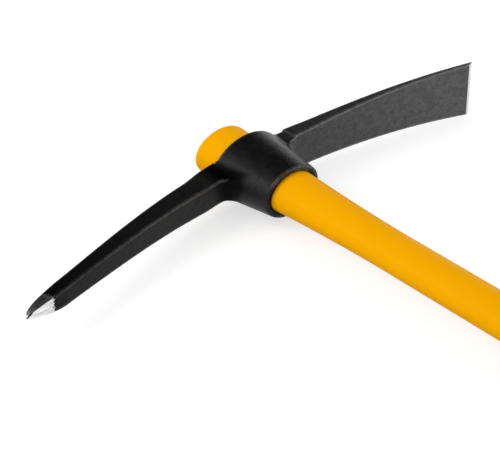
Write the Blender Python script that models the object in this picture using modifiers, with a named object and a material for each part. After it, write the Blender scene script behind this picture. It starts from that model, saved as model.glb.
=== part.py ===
"""Pick mattock: a forged head with a tapered oval eye, slipped over a jacketed fibreglass handle.

The tool lies on its side. +X points to the adze blade, +Y along the handle to the head and +Z up.
The world origin is below the middle of the whole tool, on the surface that it lies on.
Everything is modelled in the tool's own frame: its origin is on the handle's axis at the level of
the two arms, and "level" is the distance from there along the handle, positive beyond the head.
Lengths are in metres.
"""

import math

import bmesh
import bpy
from mathutils import Matrix, Vector

# Whole tool
TOOL_LENGTH = 0.900
PICK_REACH = 0.276
ADZE_REACH = 0.244

# Eye: its outer shell, as full widths along X and Z
EYE_DEPTH = 0.0625
EYE_RIM_LEVEL = 0.0095
EYE_RIM_WIDTHS = (0.0785, 0.0615)
EYE_FOOT_WIDTHS = (0.0616, 0.0474)
EYE_RIM_ROUNDING = 0.0038
EYE_FOOT_ROUNDING = 0.0016

# Handle: full widths along X and Z where it matters
HANDLE_STANDOUT = 0.034
HANDLE_TOP_WIDTHS = (0.0592, 0.0434)
HANDLE_FOOT_WIDTHS = (0.0488, 0.0363)
HANDLE_GRIP_WIDTHS = (0.0394, 0.0301)
HANDLE_TOP_ROUNDING = 0.0047
NECK_LENGTH = 0.129
NECK_START_SLOPE = 0.066
CORE_WIDTHS = (0.0240, 0.0170)
CORE_RECESS = 0.0010
CORE_STUB = 0.0080

# Grip sleeve and butt cap at the handle's free end
SLEEVE_LENGTH = 0.270
SLEEVE_WALL = 0.0025
SLEEVE_PROUD = 0.0008
SLEEVE_ROUNDING = 0.0015
SWELL_LENGTH = 0.060
CAP_THICKNESS = 0.014
CAP_ROUNDING = 0.0045

# Clearances: faces that touch, and the room that the butt has as the eye passes over it
SEAT_GAP = 0.0003
EYE_PASS_GAP = 0.0016

# Pick arm: from its root by the eye to where the point is ground
ARM_ROOT = 0.040
PICK_UNDERSIDE_LEVEL = -0.0135
PICK_DROP = 0.0267
PICK_END_SLOPE = -0.209
PICK_ROOT_THICKNESS = 0.0230
PICK_END_THICKNESS = 0.0130
PICK_ROOT_WIDTH = 0.0247
PICK_END_WIDTH = 0.0179
PICK_ROOT_RISE = 0.0044
PICK_RISE_LENGTH = 0.034
PICK_WAIST_REACH = 0.042
PICK_WAIST_LENGTH = 0.026
PICK_WAIST_LIFT = 0.0014
PICK_WAIST_NARROWING = 0.0008
PICK_GROUND_LENGTH = 0.0481
PICK_TIP_DROP = 0.0041
PICK_TIP_SIZE = 0.0008
NOSE_HEIGHT_POWERS = (1.55, 0.41)
NOSE_WIDTH_POWERS = (1.45, 0.60)
NOSE_DROP_POWER = 3
PICK_SIDE_FILLET = 0.004
PICK_UNDER_FILLET = 0.0130

# Adze arm: from its root by the eye to the cutting edge
ADZE_UNDERSIDE_LEVEL = -0.0090
ADZE_DROP = 0.0302
ADZE_END_SLOPE = -0.346
ADZE_ROOT_THICKNESS = 0.0170
ADZE_END_THICKNESS = 0.0033
ADZE_ROOT_WIDTH = 0.0334
ADZE_ROOT_FLARE = 0.0008
ADZE_FLARE_LENGTH = 0.035
ADZE_END_WIDTH = 0.0560
ADZE_SHOULDER_STEP = 0.0011
ADZE_RAMP_REACH = 0.0475
ADZE_RAMP_LENGTH = 0.0080
ADZE_RAMP_DEPTH = 0.0022
ADZE_SHOULDER_REACH = 0.0420
ADZE_SHOULDER_LENGTH = 0.0022
ADZE_BEVEL_LENGTH = 0.0030
ADZE_EDGE_LAND = 0.0008
ADZE_SIDE_FILLET = 0.003
ADZE_UNDER_FILLET = 0.005

# Corners and roots of both arms
ARM_CORNER = 0.0012
TIP_CORNER = 0.0003
TIP_CORNER_RATE = 4
CORNER_SHARE_LIMIT = 0.8
PICK_ROOT_CORNER = 0.0016
ADZE_ROOT_CORNER = 0.0016
ROOT_CORNER_LENGTH = 0.012
ROOT_SINK = 0.004
ROOT_LIP = 0.008
RIM_BLEND = 0.008
FILLET_SEARCH_REACH = 0.120

# Facets
OVAL_SIDES = 48
ARM_STEPS = 14
PICK_SIDE_STEPS = (2, 2)
ADZE_SIDE_STEPS = (1, 6)
NOSE_STEPS = 6
FILLET_STEPS = 5
ROUND_STEPS = 3
NECK_STEPS = 9
CORNER_STEPS = 2
FILLET_SPACING_POWER = 1.5
SOLVE_STEPS = 40
SHARP_ANGLE = math.radians(35)

# Levels and places that follow from the sizes above
EYE_FOOT_LEVEL = EYE_RIM_LEVEL - EYE_DEPTH
TOP_LEVEL = EYE_RIM_LEVEL + HANDLE_STANDOUT
BUTT_LEVEL = TOP_LEVEL - TOOL_LENGTH
NECK_END_LEVEL = EYE_FOOT_LEVEL - NECK_LENGTH
SLEEVE_END_LEVEL = BUTT_LEVEL + CAP_THICKNESS + SEAT_GAP
SLEEVE_START_LEVEL = SLEEVE_END_LEVEL + SLEEVE_LENGTH
CORE_END_LEVEL = SLEEVE_END_LEVEL - CORE_STUB
BUTT_WIDTHS = tuple(width - 2 * EYE_PASS_GAP for width in HANDLE_FOOT_WIDTHS)
EYE_WIDEST = tuple(
    (rim - (rim - foot) * EYE_RIM_ROUNDING / EYE_DEPTH) / 2
    for rim, foot in zip(EYE_RIM_WIDTHS, EYE_FOOT_WIDTHS)
)
TOOL_ORIGIN = (
    (PICK_REACH - ADZE_REACH) / 2,
    TOOL_LENGTH / 2 - TOP_LEVEL,
    max(EYE_WIDEST[1], ADZE_END_WIDTH / 2),
)


def clear_scene():
    for thing in list(bpy.data.objects):
        bpy.data.objects.remove(thing, do_unlink=True)


def new_collection(name):
    collection = bpy.data.collections.new(name)
    bpy.context.scene.collection.children.link(collection)
    return collection


def new_material(name, colour, roughness, metallic=0.0):
    material = bpy.data.materials.new(name)
    material.use_nodes = True
    shader = material.node_tree.nodes["Principled BSDF"]
    shader.inputs["Base Color"].default_value = (*colour, 1.0)
    shader.inputs["Roughness"].default_value = roughness
    shader.inputs["Metallic"].default_value = metallic
    return material


def blend(start, end, share):
    return start + (end - start) * share


def ease(share):
    """Runs from 0 to 1 with a level start and a level end."""
    share = min(max(share, 0.0), 1.0)
    return share * share * (3 - 2 * share)


def curve_between(start, end, start_slope, end_slope, run, share):
    """A cubic between two heights, with a given slope at each end of its run."""
    turn = (start_slope * (1 - share) - end_slope * share) * share * (1 - share) * run
    return blend(start, end, ease(share)) + turn


def add_piece(name, shape, collection):
    mesh = bpy.data.meshes.new(name)
    shape.to_mesh(mesh)
    shape.free()
    mesh.shade_smooth()
    mesh.set_sharp_from_angle(angle=SHARP_ANGLE)
    piece = bpy.data.objects.new(name, mesh)
    collection.objects.link(piece)
    return piece


def solid(name, rings, collection, ring_closed=False):
    """Skins rings of points that have the same count, and caps both ends, or joins last to first."""
    shape = bmesh.new()
    loops = [[shape.verts.new(point) for point in ring] for ring in rings]
    pairs = list(zip(loops, loops[1:]))
    if ring_closed:
        pairs.append((loops[-1], loops[0]))
    else:
        shape.faces.new(loops[0])
        shape.faces.new(loops[-1])
    for near, far in pairs:
        for i in range(len(near)):
            j = (i + 1) % len(near)
            shape.faces.new((near[i], near[j], far[j], far[i]))
    bmesh.ops.recalc_face_normals(shape, faces=shape.faces)
    return add_piece(name, shape, collection)


def oval_rod(name, widths, end, start, collection, rounding=0.0):
    """A straight oval bar along the handle's axis. Its rounding is on the edge of its end."""
    shape = bmesh.new()
    weights = shape.edges.layers.float.new("bevel_weight_edge")
    place = Matrix.Translation((0, (start + end) / 2, 0))
    size = Matrix.Diagonal((widths[0], start - end, widths[1], 1))
    turn = Matrix.Rotation(math.pi / 2, 4, "X")
    bmesh.ops.create_cone(
        shape, cap_ends=True, segments=OVAL_SIDES, radius1=0.5, radius2=0.5, depth=1,
        matrix=place @ size @ turn
    )
    for edge in shape.edges:
        at_end = all(vert.co.y < (start + end) / 2 for vert in edge.verts)
        edge[weights] = 1.0 if at_end else 0.0
    rod = add_piece(name, shape, collection)
    if rounding:
        bevel = rod.modifiers.new("rounding", "BEVEL")
        bevel.limit_method = "WEIGHT"
        bevel.width = rounding
        bevel.segments = ROUND_STEPS
    return rod


def oval(level, half_widths, inset=0.0):
    """A ring around the handle's axis."""
    turns = [2 * math.pi * i / OVAL_SIDES for i in range(OVAL_SIDES)]
    half_x, half_z = (half - inset for half in half_widths)
    return [Vector((half_x * math.cos(t), level, half_z * math.sin(t))) for t in turns]


def rounded_ovals(section, end_level, radius, inward):
    """Rings over the rounded edge of an oval's end. inward is the way from the end into the piece."""
    rings = []
    for step in range(ROUND_STEPS + 1):
        turn = math.pi / 2 * step / ROUND_STEPS
        level = end_level + inward * radius * (1 - math.sin(turn))
        rings.append(oval(level, section(level), inset=radius * (1 - math.cos(turn))))
    return rings


def grown(widths, grow):
    return tuple(width + 2 * grow for width in widths)


def halves(widths, grow=0.0):
    return tuple(width / 2 + grow for width in widths)


def boolean(target, tool, operation):
    cut = target.modifiers.new(tool.name, "BOOLEAN")
    cut.operation = operation
    cut.object = tool
    tool.hide_render = True
    tool.display_type = "WIRE"


def finish_piece(piece, material, parent):
    piece.data.materials.clear()
    piece.data.materials.append(material)
    piece.parent = parent


# Sections of the oval pieces, as half widths at a level

def eye_shell(level):
    share = (level - EYE_FOOT_LEVEL) / EYE_DEPTH
    return tuple(blend(f, r, share) / 2 for f, r in zip(EYE_FOOT_WIDTHS, EYE_RIM_WIDTHS))


def handle_outside(level):
    """The handle's own oval: a straight taper through the eye, an eased neck and an even grip."""
    rise = (level - EYE_FOOT_LEVEL) / (TOP_LEVEL - EYE_FOOT_LEVEL)
    run = min((EYE_FOOT_LEVEL - level) / NECK_LENGTH, 1.0)
    widths = []
    for top, foot, grip in zip(HANDLE_TOP_WIDTHS, HANDLE_FOOT_WIDTHS, HANDLE_GRIP_WIDTHS):
        if rise >= 0:
            widths.append(blend(foot, top, rise) / 2)
        else:
            slope = -NECK_START_SLOPE * (foot - grip) / (HANDLE_FOOT_WIDTHS[0] - HANDLE_GRIP_WIDTHS[0])
            widths.append(curve_between(foot / 2, grip / 2, slope, 0.0, NECK_LENGTH, run))
    return tuple(widths)


def sleeve_outside(level):
    """The sleeve is even, then swells to the butt, which still passes through the eye."""
    share = ease(1 - (level - SLEEVE_END_LEVEL) / SWELL_LENGTH)
    grip = halves(HANDLE_GRIP_WIDTHS, SLEEVE_PROUD)
    return tuple(blend(even, butt / 2, share) for even, butt in zip(grip, BUTT_WIDTHS))


def bore_section(level):
    rise = (level - EYE_FOOT_LEVEL) / (TOP_LEVEL - EYE_FOOT_LEVEL)
    pairs = zip(HANDLE_FOOT_WIDTHS, HANDLE_TOP_WIDTHS)
    return tuple(blend(foot, top, rise) / 2 + SEAT_GAP for foot, top in pairs)


# Sections of the arms, as (underside level, top level, half width, corner) at a reach from the handle

def root_corner(size, reach):
    """The arm's corners are rounder close to the eye."""
    return blend(size, ARM_CORNER, ease((reach - EYE_WIDEST[0]) / ROOT_CORNER_LENGTH))


def nose_share(nose, powers):
    """What is left of the pick's height or width at a share of the way along its ground point."""
    return (1 - nose ** powers[0]) ** powers[1]


def pick_section(reach):
    ground_start = PICK_REACH - PICK_GROUND_LENGTH
    run = ground_start - ARM_ROOT
    share = min((reach - ARM_ROOT) / run, 1.0)
    foot = PICK_UNDERSIDE_LEVEL
    low = curve_between(foot, foot - PICK_DROP, 0.0, PICK_END_SLOPE, run, max(share, 0.0))
    high = low + blend(PICK_ROOT_THICKNESS, PICK_END_THICKNESS, share)
    high += PICK_ROOT_RISE * ease(1 - (reach - ARM_ROOT) / PICK_RISE_LENGTH)
    waist = ease(1 - (reach - PICK_WAIST_REACH) / PICK_WAIST_LENGTH)
    low += PICK_WAIST_LIFT * waist
    half_width = blend(PICK_ROOT_WIDTH, PICK_END_WIDTH, share) / 2 - PICK_WAIST_NARROWING * waist
    nose = min(max((reach - ground_start) / PICK_GROUND_LENGTH, 0.0), 1.0)
    height = max((high - low) * nose_share(nose, NOSE_HEIGHT_POWERS), PICK_TIP_SIZE)
    half_width = max(half_width * nose_share(nose, NOSE_WIDTH_POWERS), PICK_TIP_SIZE / 2)
    low -= PICK_TIP_DROP * (1 - (1 - nose) ** NOSE_DROP_POWER)
    corner = blend(root_corner(PICK_ROOT_CORNER, reach), TIP_CORNER, ease(nose * TIP_CORNER_RATE))
    return low, low + height, half_width, corner


def adze_section(reach):
    run = ADZE_REACH - ARM_ROOT
    share = (reach - ARM_ROOT) / run
    foot = ADZE_UNDERSIDE_LEVEL
    low = curve_between(foot, foot - ADZE_DROP, 0.0, ADZE_END_SLOPE, run, max(share, 0.0))
    thickness = ADZE_ROOT_THICKNESS * (ADZE_END_THICKNESS / ADZE_ROOT_THICKNESS) ** share
    shoulder = ADZE_SHOULDER_STEP * (1 - ease((reach - ADZE_SHOULDER_REACH) / ADZE_SHOULDER_LENGTH))
    high = low + thickness - shoulder
    ramp = min(max((ADZE_RAMP_REACH - reach) / ADZE_RAMP_LENGTH, 0.0), 1.0)
    low -= ADZE_RAMP_DEPTH * (ramp + ramp * ramp) / 2
    bevel = max((reach - ADZE_REACH) / ADZE_BEVEL_LENGTH + 1, 0.0)
    low = blend(low, high - ADZE_EDGE_LAND, bevel)
    half_width = blend(ADZE_ROOT_WIDTH, ADZE_END_WIDTH, share) / 2 - shoulder
    half_width += ADZE_ROOT_FLARE * ease(1 - (reach - ARM_ROOT) / ADZE_FLARE_LENGTH)
    return low, high, half_width, root_corner(ADZE_ROOT_CORNER, reach)


def box_ring(section, mids):
    """Points and outward normals around a box section with rounded corners, in the (Y, Z) plane.

    mids is the count of extra points on each of its sides: those along Y, then those along Z."""
    low, high, half_width, corner = section
    centre = (low + high) / 2
    half_height = (high - low) / 2
    corner = min(corner, half_height * CORNER_SHARE_LIMIT, half_width * CORNER_SHARE_LIMIT)
    points = []
    for quarter in range(4):
        turn = quarter * math.pi / 2
        side_y = 1 if quarter in (0, 3) else -1
        side_z = 1 if quarter in (0, 1) else -1
        hub = Vector((centre + side_y * (half_height - corner), side_z * (half_width - corner)))
        for step in range(CORNER_STEPS + 1):
            angle = turn + math.pi / 2 * step / CORNER_STEPS
            normal = Vector((math.cos(angle), math.sin(angle)))
            points.append((hub + corner * normal, normal))
    ring = []
    per_corner = CORNER_STEPS + 1
    for quarter in range(4):
        ring += points[quarter * per_corner:(quarter + 1) * per_corner]
        start, normal = ring[-1]
        end = points[(quarter + 1) * per_corner % len(points)][0]
        count = mids[0] if quarter % 2 == 0 else mids[1]
        ring += [(start.lerp(end, (i + 1) / (count + 1)), normal) for i in range(count)]
    return ring


def eye_distance(reach, level, z):
    """How far a point is outside the eye's shell, closely enough near the shell."""
    half_x, half_z = eye_shell(level)
    size = math.hypot(reach / half_x, z / half_z)
    return size * (size - 1) / math.hypot(reach / half_x ** 2, z / half_z ** 2)


def solve(function, low, high):
    """Where a rising function crosses zero."""
    for _ in range(SOLVE_STEPS):
        middle = (low + high) / 2
        if function(middle) > 0:
            high = middle
        else:
            low = middle
    return (low + high) / 2


def arm_point(section, mids, index, reach, lift):
    """A point of the arm's skin, moved out by lift. At the sides it comes down to the eye's rim."""
    point, normal = box_ring(section(reach), mids)[index]
    level = point[0] + lift * min(normal[0], 0.0)
    down = min(lift / RIM_BLEND, 1.0) * abs(normal[1])
    level = blend(level, min(level, EYE_RIM_LEVEL - EYE_RIM_ROUNDING), down)
    return reach, level, point[1] + lift * normal[1]


def reach_beside_eye(section, mids, index, lift, gap):
    """The reach where a point of the arm's skin, moved out by lift, is a gap outside the eye."""
    def beyond(reach):
        return eye_distance(*arm_point(section, mids, index, reach, lift)) - gap
    return solve(beyond, 0.0, FILLET_SEARCH_REACH)


def fillet_radius(section, mids, index, radii):
    """The fillet under an arm is larger than those at its sides, with an even change at the corner."""
    down = min(box_ring(section(ARM_ROOT), mids)[index][1][0], 0.0)
    return blend(*radii, down * down)


def fillet_lift(section, mids, index, reach, radius):
    """How far a round fillet between the arm and the eye stands off the arm."""
    def inside(lift):
        gap = eye_distance(*arm_point(section, mids, index, reach, lift))
        return radius ** 2 - (radius - lift) ** 2 - (radius - min(gap, radius)) ** 2
    return solve(inside, 0.0, radius)


def arm_rings(section, mids, radii, reach_end, stations):
    """Rings from inside the eye out to the arm's end, with a fillet where the arm leaves the eye.

    An arm that stands above the eye's rim goes on over it as a lip, as far as the bore."""
    count = len(box_ring(section(ARM_ROOT), mids))
    inner = []
    lip = []
    fillet = [[] for _ in range(FILLET_STEPS + 1)]
    for index in range(count):
        radius = fillet_radius(section, mids, index, radii)
        ends = [
            reach_beside_eye(section, mids, index, lift, gap)
            for lift, gap in ((radius, 0.0), (0.0, radius))
        ]
        for step in range(FILLET_STEPS + 1):
            share = (step / FILLET_STEPS) ** FILLET_SPACING_POWER
            reach = blend(ends[0], ends[1], share)
            lift = radius if step == 0 else fillet_lift(section, mids, index, reach, radius)
            fillet[step].append(arm_point(section, mids, index, reach, lift))
        reach, level, z = fillet[0][-1]
        lip.append((reach - ROOT_LIP, level, z))
        end_level = min(level, EYE_RIM_LEVEL - EYE_RIM_ROUNDING)
        inner.append((reach - ROOT_LIP - ROOT_SINK, end_level, z))
    first = max(point[0] for point in fillet[-1])
    outer = []
    for reach in stations(first, reach_end):
        outer.append([arm_point(section, mids, i, reach, 0.0) for i in range(count)])
    return [inner, lip, *fillet, *outer]


def even_stations(start, end, count):
    return [blend(start, end, (i + 1) / count) for i in range(count)]


def pick_stations(start, end):
    root_end = EYE_WIDEST[0] + ROOT_CORNER_LENGTH
    ground_start = end - PICK_GROUND_LENGTH
    nose = [math.sin(math.pi / 2 * (i + 1) / NOSE_STEPS) for i in range(NOSE_STEPS)]
    arm = [max(start, root_end)] + even_stations(max(start, root_end), ground_start, ARM_STEPS)
    return arm + [blend(ground_start, end, share) for share in nose]


def adze_stations(start, end):
    shoulder_end = max(ADZE_SHOULDER_REACH, start) + ADZE_SHOULDER_LENGTH
    ramp_end = max(ADZE_RAMP_REACH, shoulder_end)
    arm = even_stations(ramp_end, end - ADZE_BEVEL_LENGTH, ARM_STEPS)
    return [max(start, ADZE_SHOULDER_REACH), shoulder_end, ramp_end, *arm, end]


def make_arm(name, side, section, mids, radii, reach_end, stations, collection):
    rings = arm_rings(section, mids, radii, reach_end, stations)
    placed = [[Vector((side * reach, level, z)) for reach, level, z in ring] for ring in rings]
    return solid(name, placed, collection)


def make_head(material, collection, cutters):
    shell_rings = rounded_ovals(eye_shell, EYE_FOOT_LEVEL, EYE_FOOT_ROUNDING, 1)[::-1]
    shell_rings += rounded_ovals(eye_shell, EYE_RIM_LEVEL, EYE_RIM_ROUNDING, -1)
    head = solid("pick_head", shell_rings, collection)
    fillets = (PICK_SIDE_FILLET, PICK_UNDER_FILLET)
    pick = make_arm("pick_arm", -1, pick_section, PICK_SIDE_STEPS, fillets, PICK_REACH, pick_stations, cutters)
    fillets = (ADZE_SIDE_FILLET, ADZE_UNDER_FILLET)
    adze = make_arm("adze_arm", 1, adze_section, ADZE_SIDE_STEPS, fillets, ADZE_REACH, adze_stations, cutters)
    ends = (EYE_FOOT_LEVEL - EYE_DEPTH / 2, EYE_RIM_LEVEL + EYE_DEPTH / 2)
    bore = solid("eye_bore", [oval(level, bore_section(level)) for level in ends], cutters)
    boolean(head, pick, "UNION")
    boolean(head, adze, "UNION")
    boolean(head, bore, "DIFFERENCE")
    for tool in (pick, adze, bore):
        tool.location = TOOL_ORIGIN
    head.location = TOOL_ORIGIN
    finish_piece(head, material, None)


def make_core(material, collection, parent):
    core = oval_rod("handle_core", CORE_WIDTHS, CORE_END_LEVEL, TOP_LEVEL - CORE_RECESS, collection)
    finish_piece(core, material, parent)


def make_jacket(material, collection, parent):
    """A tube open at both ends, stepped down where the sleeve goes over it."""
    rings = rounded_ovals(handle_outside, TOP_LEVEL, HANDLE_TOP_ROUNDING, -1)[::-1]
    for step in range(NECK_STEPS + 1):
        level = blend(EYE_FOOT_LEVEL, NECK_END_LEVEL, step / NECK_STEPS)
        rings.append(oval(level, handle_outside(level)))
    step_level = SLEEVE_START_LEVEL + SEAT_GAP
    under_sleeve = halves(HANDLE_GRIP_WIDTHS, SLEEVE_PROUD - SLEEVE_WALL - SEAT_GAP)
    rings.append(oval(step_level, handle_outside(step_level)))
    for level in (step_level, SLEEVE_END_LEVEL):
        rings.append(oval(level, under_sleeve))
    for level in (SLEEVE_END_LEVEL, TOP_LEVEL):
        rings.append(oval(level, halves(CORE_WIDTHS, SEAT_GAP)))
    jacket = solid("handle_jacket", rings, collection, ring_closed=True)
    finish_piece(jacket, material, parent)


def make_sleeve(material, collection, parent):
    rings = rounded_ovals(sleeve_outside, SLEEVE_START_LEVEL, SLEEVE_ROUNDING, -1)[::-1]
    for step in range(NECK_STEPS + 1):
        level = SLEEVE_END_LEVEL + SWELL_LENGTH * (1 - step / NECK_STEPS)
        rings.append(oval(level, sleeve_outside(level)))
    inside = halves(HANDLE_GRIP_WIDTHS, SLEEVE_PROUD - SLEEVE_WALL)
    for level in (SLEEVE_END_LEVEL, SLEEVE_START_LEVEL):
        rings.append(oval(level, inside))
    sleeve = solid("grip_sleeve", rings, collection, ring_closed=True)
    finish_piece(sleeve, material, parent)


def make_cap(material, collection, cutters, parent):
    """A cap with a blind socket, pushed onto the end of the core."""
    mouth = SLEEVE_END_LEVEL - SEAT_GAP
    cap = oval_rod("butt_cap", BUTT_WIDTHS, BUTT_LEVEL, mouth, collection, CAP_ROUNDING)
    bore = grown(CORE_WIDTHS, SEAT_GAP)
    socket = oval_rod("cap_socket", bore, CORE_END_LEVEL - SEAT_GAP, mouth + CORE_STUB, cutters)
    socket.parent = parent
    boolean(cap, socket, "DIFFERENCE")
    finish_piece(cap, material, parent)


def main():
    clear_scene()
    parts = new_collection("pick_mattock")
    cutters = new_collection("pick_mattock_cutters")
    handle = bpy.data.objects.new("handle_axis", None)
    handle.location = TOOL_ORIGIN
    parts.objects.link(handle)
    make_head(new_material("coated_steel", (0.016, 0.016, 0.017), 0.45, 0.3), parts, cutters)
    make_core(new_material("fibreglass", (0.62, 0.52, 0.26), 0.55), parts, handle)
    make_jacket(new_material("yellow_plastic", (0.91, 0.40, 0.0), 0.35), parts, handle)
    make_sleeve(new_material("black_rubber", (0.02, 0.02, 0.021), 0.75), parts, handle)
    make_cap(new_material("black_plastic", (0.025, 0.025, 0.026), 0.5), parts, cutters, handle)


main()
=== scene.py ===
"""Looks of the pick mattock: a fine mesh over each CAD solid but the core, and procedural materials.

Lengths are in metres, in the CAD's frame: +X to the adze blade, +Y along the handle to the head.
"reach" is a distance from the handle's axis along an arm, and "level" one along the handle from
the level of the two arms, positive beyond the head. In the materials, a "scale" is about how many
waves of noise fit in a metre, and a "bump" is a height in metres and a strength.
"""

import math

import bmesh
import bpy
import numpy as np
from mathutils import Matrix, Vector


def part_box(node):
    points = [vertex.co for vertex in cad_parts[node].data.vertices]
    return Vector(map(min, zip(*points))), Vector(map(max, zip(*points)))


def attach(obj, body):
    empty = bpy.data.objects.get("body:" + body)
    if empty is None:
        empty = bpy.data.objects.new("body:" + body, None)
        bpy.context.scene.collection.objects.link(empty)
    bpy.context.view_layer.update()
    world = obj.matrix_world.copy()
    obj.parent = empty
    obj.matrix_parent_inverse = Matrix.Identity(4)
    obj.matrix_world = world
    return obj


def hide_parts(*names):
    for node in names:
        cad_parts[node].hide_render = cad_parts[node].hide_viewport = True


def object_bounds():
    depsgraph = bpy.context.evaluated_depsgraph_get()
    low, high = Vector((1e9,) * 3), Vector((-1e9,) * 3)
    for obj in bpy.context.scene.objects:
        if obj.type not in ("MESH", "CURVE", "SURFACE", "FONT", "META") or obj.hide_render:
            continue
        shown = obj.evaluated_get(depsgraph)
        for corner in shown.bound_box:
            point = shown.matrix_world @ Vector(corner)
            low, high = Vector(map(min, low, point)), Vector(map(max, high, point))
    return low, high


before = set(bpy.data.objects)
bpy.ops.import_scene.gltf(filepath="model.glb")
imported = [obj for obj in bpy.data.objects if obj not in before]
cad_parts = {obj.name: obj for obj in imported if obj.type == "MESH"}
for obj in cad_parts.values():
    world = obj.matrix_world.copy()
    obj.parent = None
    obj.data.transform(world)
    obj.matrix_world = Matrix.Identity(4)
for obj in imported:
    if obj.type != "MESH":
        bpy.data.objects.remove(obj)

CAD_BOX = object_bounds()

# Eye: outer shell, as full widths along X and Z
EYE_DEPTH = 0.0625
EYE_RIM_LEVEL = 0.0095
EYE_RIM_WIDTHS = (0.0785, 0.0615)
EYE_FOOT_WIDTHS = (0.0616, 0.0474)
EYE_RIM_ROUNDING = 0.0038
EYE_FOOT_ROUNDING = 0.0016
SEAT_GAP = 0.0003

# Handle: full widths along X and Z
HANDLE_TOP_WIDTHS = (0.0592, 0.0434)
HANDLE_FOOT_WIDTHS = (0.0488, 0.0363)
HANDLE_GRIP_WIDTHS = (0.0394, 0.0301)
HANDLE_TOP_ROUNDING = 0.0047
NECK_LENGTH = 0.129
NECK_START_SLOPE = 0.066
CORE_WIDTHS = (0.0240, 0.0170)

# Grip sleeve and butt cap
SLEEVE_WALL = 0.0025
SLEEVE_PROUD = 0.0008
SLEEVE_ROUNDING = 0.0015
SWELL_LENGTH = 0.060
BUTT_WIDTHS = (0.0456, 0.0331)
CAP_ROUNDING = 0.0045
CORE_STUB = 0.0080
GROOVE_DEPTH = 0.0009
GROOVE_WIDTH = 0.0026
GROOVE_PITCH = 0.0075
GROOVES_FROM_END = 0.020

# Pick arm
ARM_ROOT = 0.040
PICK_REACH = 0.276
PICK_UNDERSIDE_LEVEL = -0.0135
PICK_DROP = 0.0267
PICK_END_SLOPE = -0.209
PICK_ROOT_THICKNESS = 0.0230
PICK_END_THICKNESS = 0.0130
PICK_ROOT_WIDTH = 0.0247
PICK_END_WIDTH = 0.0179
PICK_ROOT_RISE = 0.0044
PICK_RISE_LENGTH = 0.034
PICK_WAIST_REACH = 0.042
PICK_WAIST_LENGTH = 0.026
PICK_WAIST_LIFT = 0.0014
PICK_WAIST_NARROWING = 0.0008
PICK_GROUND_LENGTH = 0.0481
PICK_TIP_DROP = 0.0041
PICK_TIP_SIZE = 0.0008
NOSE_HEIGHT_POWERS = (1.55, 0.41)
NOSE_WIDTH_POWERS = (1.45, 0.60)
NOSE_DROP_POWER = 3
PICK_FILLETS = (0.004, 0.0130)

# Adze arm
ADZE_REACH = 0.244
ADZE_UNDERSIDE_LEVEL = -0.0090
ADZE_DROP = 0.0302
ADZE_END_SLOPE = -0.346
ADZE_ROOT_THICKNESS = 0.0170
ADZE_END_THICKNESS = 0.0033
ADZE_ROOT_WIDTH = 0.0334
ADZE_ROOT_FLARE = 0.0008
ADZE_FLARE_LENGTH = 0.035
ADZE_END_WIDTH = 0.0560
ADZE_SHOULDER_STEP = 0.0011
ADZE_RAMP_REACH = 0.0475
ADZE_RAMP_LENGTH = 0.0080
ADZE_RAMP_DEPTH = 0.0022
ADZE_SHOULDER_REACH = 0.0420
ADZE_SHOULDER_LENGTH = 0.0022
ADZE_BEVEL_LENGTH = 0.0030
ADZE_EDGE_LAND = 0.0008
ADZE_FILLETS = (0.003, 0.005)

# Corners and roots of both arms
ARM_CORNER = 0.0012
TIP_CORNER = 0.0003
TIP_CORNER_RATE = 4
CORNER_SHARE_LIMIT = 0.8
PICK_ROOT_CORNER = 0.0016
ADZE_ROOT_CORNER = 0.0016
ROOT_CORNER_LENGTH = 0.012
ROOT_SINK = 0.004
ROOT_LIP = 0.008
RIM_BLEND = 0.008
FILLET_SEARCH_REACH = 0.120

# Fineness of the meshes
OVAL_SIDES = 192
ROUND_STEPS = 10
NECK_STEPS = 48
CORNER_STEPS = 6
ARM_STEPS = 56
NOSE_STEPS = 30
SHOULDER_STEPS = 16
FILLET_STEPS = 18
FILLET_SPACING_POWER = 1.5
PICK_SIDE_STEPS = (6, 6)
ADZE_SIDE_STEPS = (4, 14)
SLEEVE_STEPS = 480
SOLVE_STEPS = 40
WELD_GAP = 0.0008
HEAD_VOXEL = 0.0006

# Places worked out from the frame and the sizes above
HEAD_LOW, HEAD_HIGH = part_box("pick_head")
JACKET_LOW, JACKET_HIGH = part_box("handle_jacket")
SLEEVE_LOW, SLEEVE_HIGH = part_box("grip_sleeve")
CAP_LOW, CAP_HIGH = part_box("butt_cap")
AXIS_X = (JACKET_LOW.x + JACKET_HIGH.x) / 2
AXIS_Z = (JACKET_LOW.z + JACKET_HIGH.z) / 2
EYE_FOOT_LEVEL = EYE_RIM_LEVEL - EYE_DEPTH
ARMS_Y = HEAD_LOW.y - EYE_FOOT_LEVEL
TOOL_ORIGIN = Vector((AXIS_X, ARMS_Y, AXIS_Z))
TOP_LEVEL = JACKET_HIGH.y - ARMS_Y
SLEEVE_START_LEVEL = SLEEVE_HIGH.y - ARMS_Y
SLEEVE_END_LEVEL = SLEEVE_LOW.y - ARMS_Y
CAP_MOUTH_LEVEL = CAP_HIGH.y - ARMS_Y
BUTT_LEVEL = CAP_LOW.y - ARMS_Y
EYE_TAPER = (EYE_RIM_WIDTHS[0] - EYE_FOOT_WIDTHS[0]) / EYE_DEPTH
EYE_WIDEST_X = (EYE_RIM_WIDTHS[0] - EYE_TAPER * EYE_RIM_ROUNDING) / 2

# Noise in the materials: where nearly all of its values lie, and their middle
NOISE_SPAN = (0.35, 0.65)
NOISE_MIDDLE = 0.5

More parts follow.
